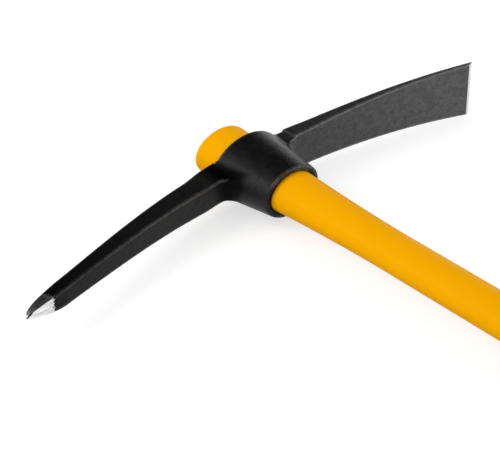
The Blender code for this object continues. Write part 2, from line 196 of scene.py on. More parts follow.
# Head's coating: how much light it returns, and how far noise lowers and raises that. Its grey is painted
# light, darker toward the pick's point and lighter toward the adze and its edge.
COAT_METALLIC = 0.8
COAT_SPECULAR = 0.2
COAT_ROUGHNESS = (0.38, 0.56)
PICK_SHADED_COAT_TIP_ROOT = (0.001, 0.020)
ADZE_LIT_COAT_ROOT_END = (0.062, 0.100)
ADZE_LIT_COAT_FROM_TO = (AXIS_X + 0.008, AXIS_X + 0.036)
MOTTLE_SCALE = 170
MOTTLE_SHARES = (0.86, 1.14)
MOTTLE_BUMP = (0.0005, 0.6)
GRAIN_SCALE = 850
GRAIN_SHARES = (0.78, 1.22)
GRAIN_BUMP = (0.00014, 0.8)

# Painted shade: the coating is darker in the hollows at the arms' roots, and a painted shadow lies on the
# eye's foot face near the bore
PAINTED_SHADE_COAT_SHARE = 0.05
PAINTED_SHADE_FULL = 0.6
PAINTED_SHADE_REACH = 0.020
PAINTED_SHADE_SIDE_REACH = 0.007
ADZE_NOTCH_REACH = 0.010
ADZE_NOTCH_ASIDE = 0.005
ADZE_NOTCH_RISE = 0.004
ADZE_NOTCH_SHADE = 0.38
FOOT_FACE_DEPTH = 0.0008
FOOT_FACE_SHADOW_FROM_TO = (0.0022, 0.0040)
FOOT_FACE_SHADOW = 0.45

# Edges where the coating is lighter: wear, and partly a painted highlight along the ridges and on the upper
# side of the eye's foot rim. The turn of the surface is in radians per metre.
PICK_WEAR_AND_HIGHLIGHT_TIP_ROOT = (0.030, 0.120)
ADZE_WEAR_AND_HIGHLIGHT = 0.19
FULL_EDGE_TURN = 400.0
EDGE_SPREAD_ROUNDS = 8
POINT_SPREAD_ROUNDS = 1
WEAR_AND_HIGHLIGHT_EDGE_SPAN = (0.06, 0.42)
EDGE_PATCH_SCALE = 240
EDGE_PATCH_SPAN = (0.38, 0.62)
EDGE_PATCH_SHARES = (0.5, 1.0)
ROOT_PLAIN_EDGE_LENGTH = 0.012
# The foot rim is lighter only on its upper side: a painted highlight
FOOT_HIGHLIGHT_DEPTH = 0.006
FOOT_HIGHLIGHT_START = 0.010
FOOT_HIGHLIGHT_RISE = 0.009
ON_RIM_MARGIN = 0.0002
# A painted highlight on the fillet under the adze's root
ADZE_FILLET_HIGHLIGHT = 0.20
ADZE_FILLET_HIGHLIGHT_REACH = 0.007
ADZE_FILLET_HIGHLIGHT_FADE = 0.25

# Ground steel of the point and the blade, and the ragged border of the coating there
STEEL_SHADES = (0.54, 0.81)
STEEL_ROUGHNESS = (0.16, 0.28)
GRINDING_SCALES = (90, 1500, 1500)
GRINDING_BUMP = (0.00003, 1.0)
# A painted dark reflection along the end of the point's lower ridge
TIP_REFLECTION_LENGTH = 0.0065
TIP_REFLECTION_WIDTH = 0.0016
TIP_REFLECTION_FULL = 0.6
TIP_REFLECTION_STEEL_SHARE = 0.06
POINT_BARE_X = AXIS_X - 0.249
POINT_RIDGE_Y = ARMS_Y - 0.0435
BORDER_SCALES = (60, 620, 620)
BORDER_JAG = 0.011
BORDER_SLANT = 0.25
BORDER_BLUR = 0.0004
STROKE_SCALES = (420, 1500, 1500)
STROKE_SPAN = (0.50, 0.58)
STROKE_REACH = 0.0060
STROKE_COVER = 0.45
BLADE_BARE_X = AXIS_X + ADZE_REACH - 0.0045
BLADE_BLUR = 0.0002

# Yellow plastic of the jacket
YELLOW_SHADES = ((0.925, 0.408, 0.0002, 1), (0.960, 0.430, 0.0004, 1))
YELLOW_CLOUD_SCALE = 22
YELLOW_SPECULAR = 0.01
YELLOW_ROUGHNESS = (0.32, 0.44)
YELLOW_SKIN_SCALE = 750
YELLOW_BUMP = (0.00005, 0.6)
SCUFF_COLOUR = (0.95, 0.50, 0.004, 1)
SCUFF_SCALES = (900, 60, 900)
SCUFF_SPAN = (0.66, 0.74)
SCUFF_SHARE = 0.25

# Glass fibre of the core
RESIN_SHADES = ((0.52, 0.43, 0.20, 1), (0.70, 0.60, 0.33, 1))
RESIN_CLOUD_SCALE = 160
STRAND_COLOUR = (0.42, 0.33, 0.14, 1)
STRAND_SCALE = 900.0
STRAND_SPAN = (0.15, 0.6)
ROD_AXIS_SHARES = (1, 0.02, 1)
ROD_ROUGHNESS = (0.5, 0.75)
ROD_BUMP = (0.0002, 0.5)

# Black rubber of the sleeve and black plastic of the cap
DUST_SCALE = 45
DUST_SPAN = (0.35, 0.7)
POLISHED_EDGE_SPAN = (0.45, 1.0)
POLISH_SHARE = 0.5
POLISH_GAIN = 1.6
ROUGHNESS_SPREAD = 0.1
MOULDED_BUMP_STRENGTH = 0.8

# Angles in degrees beyond which an edge of a moulded piece is drawn sharp
JACKET_SHARP_ANGLE = 40
SLEEVE_SHARP_ANGLE = 60
CAP_SHARP_ANGLE = 50

# Floor and studio
FLOOR_HALF_SIZE = 6.0
FLOOR_GAP = 0.0003
FLOOR_SHADE = 0.55
FLOOR_GLOW_FROM_TO = (0.6, 4.0)
FLOOR_GLOW = (0.62, 0.90)
WORLD_LIGHT = 0.55
CEILING_TILT = 0.2
CEILING_SPAN = (0.06, 0.46)
CEILING_SHADE = 0.02

# Lamps: name, direction from the tool, distance, width, and the level they light a facing card to
LAMPS = (
    ("key", (-0.50, 0.20, 0.84), 1.2, 1.5, 0.13),
    ("eye_side", (-0.66, 0.42, 0.62), 1.2, 0.6, 0.31),
    ("left", (-0.78, -0.20, 0.20), 1.2, 0.7, 0.16),
    ("front", (0.80, -0.35, 0.48), 2.0, 1.0, 0.16),
    ("blade_side", (0.84, 0.48, 0.11), 2.6, 0.7, 0.075),
)
LAMP_TARGET_DROP = 0.1

# Camera, solved from the photograph: angles in degrees, and pixels of its 500 x 450 frame
CAMERA_AZIMUTH = -42.0273
CAMERA_ELEVATION = 34.5759
CAMERA_ROLL = -0.2226
CAMERA_DISTANCE = 1.6060
FOCAL_PIXELS = 1831.31
IMAGE_SIZE = (500, 450)
ORIGIN_PIXEL = (251.2536, 167.0973)
SENSOR_WIDTH_MM = 36.0


# Small helpers

def blend(start, end, share):
    return start + (end - start) * share


def ease(share):
    """Runs from 0 to 1 with a level start and a level end."""
    share = np.clip(share, 0.0, 1.0)
    return share * share * (3 - 2 * share)


def share_left(used):
    return np.clip(1 - used, 0, 1)


def curve_between(start, end, start_slope, end_slope, run, share):
    """A cubic between two heights, with a given slope at each end of its run."""
    turn = (start_slope * (1 - share) - end_slope * share) * share * (1 - share) * run
    return blend(start, end, ease(share)) + turn


def solve(function, low, high):
    """Where a rising function crosses zero, for each item of an array."""
    for _ in range(SOLVE_STEPS):
        middle = (low + high) / 2
        above = function(middle) > 0
        high = np.where(above, middle, high)
        low = np.where(above, low, middle)
    return (low + high) / 2


def halves(widths, grow=0.0):
    return tuple(width / 2 + grow for width in widths)


def levels_between(start, end, count):
    return np.linspace(start, end, count + 1)


# Meshes over rings of points

def skin(name, rings, ring_closed=False):
    """A mesh over rings of points, in the tool's own frame, capped at both ends or joined up."""
    rings = np.array(rings)
    count, sides = rings.shape[:2]
    points = rings.reshape(-1, 3) + np.array(TOOL_ORIGIN)
    faces = []
    for ring in range(count if ring_closed else count - 1):
        near, far = ring * sides, (ring + 1) % count * sides
        for i in range(sides):
            j = (i + 1) % sides
            faces.append((near + i, near + j, far + j, far + i))
    if not ring_closed:
        faces.append(tuple(range(sides))[::-1])
        faces.append(tuple(range((count - 1) * sides, count * sides)))
    mesh = bpy.data.meshes.new(name)
    mesh.from_pydata(points.tolist(), [], faces)
    mesh.validate()
    return link(name, outward(mesh))


def outward(mesh):
    """Turns a closed mesh's faces so that they point out."""
    mesh.calc_loop_triangles()
    corners = np.empty(len(mesh.loop_triangles) * 3, np.int32)
    mesh.loop_triangles.foreach_get("vertices", corners)
    a, b, c = positions(mesh)[corners.reshape(-1, 3)].transpose(1, 0, 2)
    if np.einsum("ij,ij->", a, np.cross(b, c)) < 0:
        mesh.flip_normals()
    return mesh


def link(name, mesh):
    piece = bpy.data.objects.new(name, mesh)
    bpy.context.scene.collection.objects.link(piece)
    return piece


def oval(level, half_widths, inset=0.0):
    turns = np.arange(OVAL_SIDES) * 2 * math.pi / OVAL_SIDES
    half_x, half_z = half_widths[0] - inset, half_widths[1] - inset
    return np.stack([half_x * np.cos(turns), np.full(OVAL_SIDES, level), half_z * np.sin(turns)], axis=1)


def rounded_ovals(section, end_level, radius, inward):
    """Rings over the rounded edge of an oval's end, from its side to its flat."""
    rings = []
    for turn in np.linspace(0, math.pi / 2, ROUND_STEPS + 1):
        level = end_level + inward * radius * (1 - math.sin(turn))
        rings.append(oval(level, section(level), inset=radius * (1 - math.cos(turn))))
    return rings


# Sections of the oval pieces, as half widths at a level

def taper(foot_widths, top_widths, share, grow=0.0):
    return tuple(blend(foot, top, share) / 2 + grow for foot, top in zip(foot_widths, top_widths))


def eye_shell(level):
    return taper(EYE_FOOT_WIDTHS, EYE_RIM_WIDTHS, (level - EYE_FOOT_LEVEL) / EYE_DEPTH)


def flare(level, grow=0.0):
    """The handle's taper where it fills the eye, carried straight on both ways."""
    rise = (level - EYE_FOOT_LEVEL) / (TOP_LEVEL - EYE_FOOT_LEVEL)
    return taper(HANDLE_FOOT_WIDTHS, HANDLE_TOP_WIDTHS, rise, grow)


def handle_outside(level):
    if level >= EYE_FOOT_LEVEL:
        return flare(level)
    run = min((EYE_FOOT_LEVEL - level) / NECK_LENGTH, 1.0)
    widths = []
    for foot, grip in zip(HANDLE_FOOT_WIDTHS, HANDLE_GRIP_WIDTHS):
        slope = -NECK_START_SLOPE * (foot - grip) / (HANDLE_FOOT_WIDTHS[0] - HANDLE_GRIP_WIDTHS[0])
        widths.append(curve_between(foot / 2, grip / 2, slope, 0.0, NECK_LENGTH, run))
    return tuple(widths)


def bore_section(level):
    return flare(level, SEAT_GAP)


def sleeve_outside(level):
    share = ease(1 - (level - SLEEVE_END_LEVEL) / SWELL_LENGTH)
    grip = halves(HANDLE_GRIP_WIDTHS, SLEEVE_PROUD)
    return tuple(blend(even, butt / 2, share) for even, butt in zip(grip, BUTT_WIDTHS))


def groove(level):
    """How deep the sleeve's grooves are at a level."""
    first = SLEEVE_END_LEVEL + GROOVES_FROM_END
    last = SLEEVE_START_LEVEL - GROOVES_FROM_END
    if not first <= level <= last:
        return 0.0
    place = ((level - first) / GROOVE_PITCH + 0.5) % 1.0 - 0.5
    return GROOVE_DEPTH * float(ease(1 - abs(place) * GROOVE_PITCH * 2 / GROOVE_WIDTH))


# Sections of the arms, as (underside level, top level, half width, corner) at a reach

def root_corner(size, reach):
    return blend(size, ARM_CORNER, ease((reach - EYE_WIDEST_X) / ROOT_CORNER_LENGTH))


def nose_share(nose, powers):
    """What is left of the pick's height or width at a share of the way along its ground point."""
    return (1 - nose ** powers[0]) ** powers[1]


def pick_section(reach):
    ground_start = PICK_REACH - PICK_GROUND_LENGTH
    run = ground_start - ARM_ROOT
    share = np.minimum((reach - ARM_ROOT) / run, 1.0)
    foot = PICK_UNDERSIDE_LEVEL
    low = curve_between(foot, foot - PICK_DROP, 0.0, PICK_END_SLOPE, run, np.maximum(share, 0.0))
    high = low + blend(PICK_ROOT_THICKNESS, PICK_END_THICKNESS, share)
    high = high + PICK_ROOT_RISE * ease(1 - (reach - ARM_ROOT) / PICK_RISE_LENGTH)
    waist = ease(1 - (reach - PICK_WAIST_REACH) / PICK_WAIST_LENGTH)
    low = low + PICK_WAIST_LIFT * waist
    half_width = blend(PICK_ROOT_WIDTH, PICK_END_WIDTH, share) / 2 - PICK_WAIST_NARROWING * waist
    nose = np.clip((reach - ground_start) / PICK_GROUND_LENGTH, 0.0, 1.0)
    height = np.maximum((high - low) * nose_share(nose, NOSE_HEIGHT_POWERS), PICK_TIP_SIZE)
    half_width = half_width * nose_share(nose, NOSE_WIDTH_POWERS)
    half_width = np.maximum(half_width, PICK_TIP_SIZE / 2)
    low = low - PICK_TIP_DROP * (1 - (1 - nose) ** NOSE_DROP_POWER)
    corner = blend(root_corner(PICK_ROOT_CORNER, reach), TIP_CORNER, ease(nose * TIP_CORNER_RATE))
    return low, low + height, half_width, corner


def adze_section(reach):
    run = ADZE_REACH - ARM_ROOT
    share = (reach - ARM_ROOT) / run
    foot = ADZE_UNDERSIDE_LEVEL
    low = curve_between(foot, foot - ADZE_DROP, 0.0, ADZE_END_SLOPE, run, np.maximum(share, 0.0))
    thickness = ADZE_ROOT_THICKNESS * (ADZE_END_THICKNESS / ADZE_ROOT_THICKNESS) ** share
    shoulder = ADZE_SHOULDER_STEP * (1 - ease((reach - ADZE_SHOULDER_REACH) / ADZE_SHOULDER_LENGTH))
    high = low + thickness - shoulder
    ramp_share = np.clip((ADZE_RAMP_REACH - reach) / ADZE_RAMP_LENGTH, 0.0, 1.0)
    low = low - ADZE_RAMP_DEPTH * (ramp_share + ramp_share ** 2) / 2
    bevel = np.maximum((reach - ADZE_REACH) / ADZE_BEVEL_LENGTH + 1, 0.0)
    low = blend(low, high - ADZE_EDGE_LAND, bevel)
    half_width = blend(ADZE_ROOT_WIDTH, ADZE_END_WIDTH, share) / 2 - shoulder
    half_width = half_width + ADZE_ROOT_FLARE * ease(1 - (reach - ARM_ROOT) / ADZE_FLARE_LENGTH)
    return low, high, half_width, root_corner(ADZE_ROOT_CORNER, reach)


# Rings of the arms

def ring_template(side_steps):
    """The points of a box ring with rounded corners, each a share of the way between two corner points.

    A corner point is (side along Y, side along Z, normal along Y, normal along Z)."""
    corners = []
    for quarter in range(4):
        side_y = 1 if quarter in (0, 3) else -1
        side_z = 1 if quarter in (0, 1) else -1
        for step in range(CORNER_STEPS + 1):
            angle = (quarter + step / CORNER_STEPS) * math.pi / 2
            corners.append((side_y, side_z, math.cos(angle), math.sin(angle)))
    rows = []
    per_corner = CORNER_STEPS + 1
    for quarter in range(4):
        rows += [(*corner, *corner, 0.0) for corner in corners[quarter * per_corner:][:per_corner]]
        start = corners[(quarter + 1) * per_corner - 1]
        end = corners[(quarter + 1) * per_corner % len(corners)]
        count = side_steps[quarter % 2]
        rows += [(*start, *end, (i + 1) / (count + 1)) for i in range(count)]
    return np.array(rows)


def ring_at(template, section):
    """Levels and Z of the ring's points, for one section or for one section per point."""
    low, high, half_width, corner = section
    centre, half_height = (low + high) / 2, (high - low) / 2
    corner = np.minimum(corner, CORNER_SHARE_LIMIT * np.minimum(half_height, half_width))
    ends = []
    for side_y, side_z, normal_y, normal_z in (template[:, :4].T, template[:, 4:8].T):
        level = centre + side_y * (half_height - corner) + corner * normal_y
        ends.append((level, side_z * (half_width - corner) + corner * normal_z))
    share = template[:, 8]
    return blend(ends[0][0], ends[1][0], share), blend(ends[0][1], ends[1][1], share)


def eye_distance(points):
    """How far points are outside the eye's shell, closely enough near the shell."""
    reach, level, z = points.T
    half_x, half_z = eye_shell(level)
    size = np.hypot(reach / half_x, z / half_z)
    return size * (size - 1) / np.hypot(reach / half_x ** 2, z / half_z ** 2)


def arm_points(section, template, reach, lift):
    """Points of the arm's skin, moved out by lift. At the sides they come down to the eye's rim."""
    level, z = ring_at(template, section(reach))
    normal_y, normal_z = template[:, 2], template[:, 3]
    level = level + lift * np.minimum(normal_y, 0.0)
    beside = np.minimum(level, EYE_RIM_LEVEL - EYE_RIM_ROUNDING)
    level = blend(level, beside, np.minimum(lift / RIM_BLEND, 1.0) * np.abs(normal_z))
    return np.stack([reach + 0 * level, level, z + lift * normal_z], axis=1)


def arm_rings(section, template, fillets, stations):
    """Rings from inside the eye out to the arm's end, with a round fillet where it leaves the eye.

    An arm that stands above the eye's rim goes on over it as a lip, as far as the bore."""
    down = np.minimum(template[:, 2], 0.0)
    radius = blend(*fillets, down * down)

    def reach_beside_eye(lift, gap):
        def beyond(reach):
            return eye_distance(arm_points(section, template, reach, lift)) - gap
        return solve(beyond, np.zeros(len(template)), np.full(len(template), FILLET_SEARCH_REACH))

    start, end = reach_beside_eye(radius, 0.0), reach_beside_eye(0.0 * radius, radius)
    rings = []
    for share in np.linspace(0, 1, FILLET_STEPS + 1) ** FILLET_SPACING_POWER:
        reach = blend(start, end, share)

        def inside(lift):
            gap = eye_distance(arm_points(section, template, reach, lift))
            return radius ** 2 - (radius - lift) ** 2 - (radius - np.minimum(gap, radius)) ** 2

        lift = solve(inside, 0.0 * radius, radius) if share else radius
        rings.append(arm_points(section, template, reach, lift))
    lip = rings[0] - np.array([ROOT_LIP, 0, 0])
    inner = lip - np.array([ROOT_SINK, 0, 0])
    inner[:, 1] = np.minimum(inner[:, 1], EYE_RIM_LEVEL - EYE_RIM_ROUNDING)
    outer = [arm_points(section, template, reach, 0.0) for reach in stations(end.max())]
    return [inner, lip, *rings, *outer]


def pick_stations(start):
    ground_start = PICK_REACH - PICK_GROUND_LENGTH
    start = max(start, EYE_WIDEST_X + ROOT_CORNER_LENGTH)
    nose = np.sin(np.linspace(0, math.pi / 2, NOSE_STEPS + 1)[1:])
    return [*levels_between(start, ground_start, ARM_STEPS), *blend(ground_start, PICK_REACH, nose)]


def adze_stations(start):
    start = max(start, ADZE_SHOULDER_REACH)
    shoulder = levels_between(start, max(ADZE_RAMP_REACH, start + ADZE_SHOULDER_LENGTH), SHOULDER_STEPS)
    arm = levels_between(shoulder[-1], ADZE_REACH - ADZE_BEVEL_LENGTH, ARM_STEPS)
    return [*shoulder, *arm[1:], ADZE_REACH]


def placed_arm_rings(side, section, side_steps, fillets, stations):
    rings = np.array(arm_rings(section, ring_template(side_steps), fillets, stations))
    rings[:, :, 0] *= side
    return rings


# Joining and cutting meshes

def join(piece, others):
    """Puts the meshes of the others into the piece's own."""
    joined = bmesh.new()
    for source in (piece, *others):
        joined.from_mesh(source.data)
    joined.to_mesh(piece.data)
    joined.free()
    for source in others:
        bpy.data.objects.remove(source)


def apply_modifiers(piece):
    """Gives the piece the mesh that its modifiers make."""
    graph = bpy.context.evaluated_depsgraph_get()
    mesh = bpy.data.meshes.new_from_object(piece.evaluated_get(graph))
    piece.modifiers.clear()
    piece.data = mesh


def fuse(piece, voxel):
    """Remeshes closed shells that overlap into one skin."""
    remesh = piece.modifiers.new("fuse", "REMESH")
    remesh.mode = "VOXEL"
    remesh.voxel_size = voxel
    apply_modifiers(piece)


def cut_away(piece, tool):
    cut = piece.modifiers.new(tool.name, "BOOLEAN")
    cut.operation = "DIFFERENCE"
    cut.object = tool
    apply_modifiers(piece)
    bpy.data.objects.remove(tool)


def weld_point(head, rings):
    """Cuts the pick off square and goes on from there with the ground point's own rings, as one skin.

    Remeshing would blunt the point. The cap that closes its rings is taken off, and with it the edge
    that it makes in the first two of them."""
    sides = rings.shape[1]
    point = skin("pick_point", rings)
    edges = convexity(point.data, POINT_SPREAD_ROUNDS).reshape(-1, sides)
    edges[:2] = edges[2]
    store(point.data, "edge", edges.ravel())
    whole = bmesh.new()
    whole.from_mesh(head.data)
    cut = (AXIS_X + rings[0, 0, 0] + WELD_GAP, 0, 0)
    parts = [*whole.verts, *whole.edges, *whole.faces]
    bmesh.ops.bisect_plane(whole, geom=parts, plane_co=cut, plane_no=(-1, 0, 0), clear_outer=True)
    whole.from_mesh(point.data)
    caps = [face for face in whole.faces if len(face.verts) == sides]
    whole.faces.remove(max(caps, key=lambda face: face.calc_center_median().x))
    bmesh.ops.bridge_loops(whole, edges=[edge for edge in whole.edges if edge.is_boundary])
    whole.to_mesh(head.data)
    whole.free()
    bpy.data.objects.remove(point)


# Values at a mesh's vertices

def vectors(collection):
    """The vectors of a mesh's positions or normals, as the rows of an array."""
    values = np.empty(len(collection) * 3)
    collection.foreach_get("vector", values)
    return values.reshape(-1, 3)


def positions(mesh):
    return vectors(mesh.attributes["position"].data)


def convexity(mesh, rounds=EDGE_SPREAD_ROUNDS):
    """How sharply the surface turns outward at each vertex, as a share, spread over its neighbours."""
    places, normals = positions(mesh), vectors(mesh.vertex_normals)
    edges = np.empty(len(mesh.edges) * 2, np.int32)
    mesh.edges.foreach_get("vertices", edges)
    a, b = edges.reshape(-1, 2).T
    apart = places[a] - places[b]
    turn = np.einsum("ij,ij->i", normals[a] - normals[b], apart) / np.einsum("ij,ij->i", apart, apart)
    return spread(turn / FULL_EDGE_TURN, a, b, len(places), rounds)


def spread(edge_values, a, b, count, rounds):
    """Averages edge values onto vertices, then several times over each vertex's neighbours."""
    total = np.bincount(a, edge_values, count) + np.bincount(b, edge_values, count)
    degree = np.maximum(np.bincount(a, minlength=count) + np.bincount(b, minlength=count), 1)
    value = total / degree
    for _ in range(rounds):
        around = np.bincount(a, value[b], count) + np.bincount(b, value[a], count)
        value = (value + around / degree) / 2
    return value


def store(mesh, name, values):
    attribute = mesh.attributes.get(name) or mesh.attributes.new(name, "FLOAT", "POINT")
    attribute.data.foreach_set("value", np.asarray(values, np.float32))


def stored(mesh, name):
    values = np.empty(len(mesh.vertices), np.float32)
    mesh.attributes[name].data.foreach_get("value", values)
    return values


# Values at the head's vertices

def root_painted_shade(points):
    """Painted shade: 1 deep in the hollow under the pick's root, less beside the adze's, and a painted
    shadow round the bore's foot, or 0.
    """
    x, level, z = points.T
    gap = eye_distance(points)
    clear = np.maximum(gap, 0)

    low, high, half_width, _ = pick_section(np.maximum(-x, 0))
    under = np.maximum(low - level, 0) / PAINTED_SHADE_REACH
    aside = np.maximum(np.maximum(np.abs(z) - half_width, level - high), 0) / PAINTED_SHADE_SIDE_REACH
    under_pick = share_left(clear / PAINTED_SHADE_REACH) * share_left(np.maximum(under, aside))

    low, high, half_width, _ = adze_section(np.maximum(x, 0))
    outside = np.maximum(np.maximum(low - level, level - high), np.abs(z) - half_width)
    notch = ADZE_NOTCH_SHADE * share_left(clear / ADZE_NOTCH_REACH)
    notch = notch * share_left(np.maximum(outside, 0) / ADZE_NOTCH_ASIDE)
    beside_adze = notch * ease((np.abs(z) - half_width) / ADZE_NOTCH_RISE + 1)

    # Painted shadow on the foot face near the bore
    start, end = FOOT_FACE_SHADOW_FROM_TO
    foot_face = FOOT_FACE_SHADOW * ease((-gap - start) / (end - start))
    root = np.where(x < 0, under_pick, beside_adze)
    return np.where(level < EYE_FOOT_LEVEL + FOOT_FACE_DEPTH, foot_face, root)


def painted_fillet_highlight(points):
    """A painted highlight on the fillet under the adze's root, a little lighter than the faces beside it."""
    x, level, z = points.T
    low, _, half_width, _ = adze_section(np.maximum(x, 0))
    gap = eye_distance(points) / ADZE_FILLET_HIGHLIGHT_REACH
    along = ease(np.minimum(gap, 1 - gap) / ADZE_FILLET_HIGHLIGHT_FADE)
    under = ease((low + ADZE_NOTCH_RISE - level) / ADZE_NOTCH_RISE)
    across = ease((half_width - np.abs(z)) / ADZE_NOTCH_RISE)
    return ADZE_FILLET_HIGHLIGHT * along * under * across * (x > 0)


def painted_tip_reflection(points):
    """1 along the end of the point's lower ridge, where a dark reflection is painted on the steel."""
    x, level, z = points.T
    low, _, half_width, _ = pick_section(np.maximum(-x, 0))
    near = share_left(np.hypot(level - low, z - half_width) / TIP_REFLECTION_WIDTH)
    return near * ease((TIP_REFLECTION_LENGTH - PICK_REACH - x) / TIP_REFLECTION_WIDTH)


def edge_wear_and_highlight(points):
    """How far each place takes the lighter edges, wear and partly a painted highlight: not close to the eye,
    and on the eye's foot rim only on its upper side, as a painted highlight.
    """
    x, level, z = points.T
    root = ease(eye_distance(points) / ROOT_PLAIN_EDGE_LENGTH)
    on_foot = level < EYE_FOOT_LEVEL + FOOT_HIGHLIGHT_DEPTH
    foot = ease((z - FOOT_HIGHLIGHT_START) / FOOT_HIGHLIGHT_RISE)
    on_rim = (level > EYE_RIM_LEVEL - EYE_RIM_ROUNDING) & (level < EYE_RIM_LEVEL + ON_RIM_MARGIN)
    return np.where(on_foot, foot, np.where(on_rim & (np.abs(x) < EYE_WIDEST_X), 1.0, root))


def store_head_values(mesh):
    """Gives each vertex of the head what its material asks for. Its edges are stored before."""
    points = positions(mesh) - np.array(TOOL_ORIGIN)
    edges = stored(mesh, "edge") * edge_wear_and_highlight(points)
    # The painted highlight on the adze's root fillet is stored with the edges
    store(mesh, "edge", np.maximum(edges, painted_fillet_highlight(points)))
    store(mesh, "painted_shade", root_painted_shade(points))
    store(mesh, "painted_tip_reflection", painted_tip_reflection(points))


# Nodes of the materials

def new_material(name):
    material = bpy.data.materials.new(name)
    material.use_nodes = True
    tree = material.node_tree
    return material, tree, tree.nodes["Principled BSDF"]


def connect(tree, node, inputs):
    """Sets a node's inputs, given by name or place, to numbers or to other nodes' outputs."""
    for key, value in inputs.items():
        if isinstance(value, bpy.types.NodeSocket):
            tree.links.new(value, node.inputs[key])
        else:
            node.inputs[key].default_value = value


def add(tree, kind, inputs, **settings):
    node = tree.nodes.new(kind)
    for key, value in settings.items():
        setattr(node, key, value)
    connect(tree, node, inputs)
    return node


def math_node(tree, operation, first, second):
    return add(tree, "ShaderNodeMath", {0: first, 1: second}, operation=operation).outputs[0]


def times(tree, first, second):
    return math_node(tree, "MULTIPLY", first, second)


def split(tree, place):
    return add(tree, "ShaderNodeSeparateXYZ", {0: place}).outputs


def object_place(tree):
    return tree.nodes.new("ShaderNodeTexCoord").outputs["Object"]


def stretched(tree, place, scale):
    return add(tree, "ShaderNodeMapping", {"Vector": place, "Scale": scale}).outputs[0]


def noise(tree, place, scale, detail=3.0, roughness=0.55):
    inputs = {"Vector": place, "Scale": scale, "Detail": detail, "Roughness": roughness}
    return add(tree, "ShaderNodeTexNoise", inputs).outputs[0]


def streaks(tree, place, scales, detail, roughness=0.55):
    """Noise with a scale for each axis, drawn out along an axis where it is low."""
    return noise(tree, stretched(tree, place, scales), 1.0, detail, roughness)


def ramp(tree, value, start, end, low=0.0, high=1.0):
    """Runs smoothly from low to high as the value goes from start to end."""
    inputs = {"Value": value, "From Min": start, "From Max": end, "To Min": low, "To Max": high}
    return add(tree, "ShaderNodeMapRange", inputs, interpolation_type="SMOOTHSTEP").outputs[0]


def mix_value(tree, share, first, second):
    return add(tree, "ShaderNodeMix", {0: share, 2: first, 3: second}, data_type="FLOAT").outputs[0]


def mix_colour(tree, share, first, second):
    inputs = {0: share, 6: first, 7: second}
    return add(tree, "ShaderNodeMix", inputs, data_type="RGBA").outputs[2]


def bump(tree, height, distance, strength, normal=None):
    inputs = {"Height": height, "Distance": distance, "Strength": strength}
    if normal:
        inputs["Normal"] = normal
    return add(tree, "ShaderNodeBump", inputs).outputs[0]


def vertex_value(tree, name):
    return add(tree, "ShaderNodeAttribute", {}, attribute_name=name).outputs["Fac"]


def grey(value):
    return (value, value, value, 1.0)


# Materials

def coat_shade(tree, place, x, mottle, grain):
    """The coating's grey, with painted light: lighter toward the adze, darker toward the pick's point,
    painted shade in hollows, and lighter along edges from wear and a painted highlight.
    """
    pick_span = (AXIS_X - PICK_REACH, AXIS_X - ARM_ROOT)
    adze_span = (AXIS_X + ARM_ROOT, AXIS_X + ADZE_REACH)
    # Painted light: the grey runs from near black at the pick's point to lighter at the adze's edge
    adze = ramp(tree, x, *ADZE_LIT_COAT_FROM_TO)
    pick_shaded_coat = ramp(tree, x, *pick_span, *PICK_SHADED_COAT_TIP_ROOT)
    coat = mix_value(tree, adze, pick_shaded_coat, ramp(tree, x, *adze_span, *ADZE_LIT_COAT_ROOT_END))
    coat = times(tree, coat, ramp(tree, mottle, *NOISE_SPAN, *MOTTLE_SHARES))
    coat = times(tree, coat, ramp(tree, grain, *NOISE_SPAN, *GRAIN_SHARES))
    # Painted shade in the root hollows, and a painted shadow round the bore's foot
    painted_shade = vertex_value(tree, "painted_shade")
    coat = times(tree, coat, ramp(tree, painted_shade, 0.0, PAINTED_SHADE_FULL, 1.0, PAINTED_SHADE_COAT_SHARE))

    # Lighter along the edges: wear, and partly a painted highlight
    patches = noise(tree, place, EDGE_PATCH_SCALE, detail=4.0, roughness=0.65)
    patchy = ramp(tree, patches, *EDGE_PATCH_SPAN, *EDGE_PATCH_SHARES)
    wear_and_highlight = times(tree, ramp(tree, vertex_value(tree, "edge"), *WEAR_AND_HIGHLIGHT_EDGE_SPAN), patchy)
    pick_wear_and_highlight = ramp(tree, x, *pick_span, *PICK_WEAR_AND_HIGHLIGHT_TIP_ROOT)
    return mix_value(tree, wear_and_highlight, coat, mix_value(tree, adze, pick_wear_and_highlight, ADZE_WEAR_AND_HIGHLIGHT))


def bare_share(tree, place, x, y):
    """1 on ground steel and 0 on the coating, which ends in a ragged line and loose strokes."""
    fingers = streaks(tree, place, BORDER_SCALES, detail=3.0, roughness=0.6)
    jag = times(tree, math_node(tree, "SUBTRACT", fingers, NOISE_MIDDLE), BORDER_JAG)
    above_ridge = math_node(tree, "MAXIMUM", math_node(tree, "SUBTRACT", y, POINT_RIDGE_Y), 0.0)
    slant = times(tree, above_ridge, BORDER_SLANT)
    border = math_node(tree, "ADD", x, math_node(tree, "ADD", jag, slant))
    point = ramp(tree, border, POINT_BARE_X + BORDER_BLUR, POINT_BARE_X - BORDER_BLUR)

    near_border = ramp(tree, border, POINT_BARE_X - STROKE_REACH, POINT_BARE_X - BORDER_BLUR)
    strokes = ramp(tree, streaks(tree, place, STROKE_SCALES, detail=2.0), *STROKE_SPAN)
    left_over = times(tree, times(tree, strokes, near_border), STROKE_COVER)
    point = times(tree, point, math_node(tree, "SUBTRACT", 1.0, left_over))
    blade = ramp(tree, x, BLADE_BARE_X - BLADE_BLUR, BLADE_BARE_X + BLADE_BLUR)
    return math_node(tree, "MAXIMUM", point, blade)


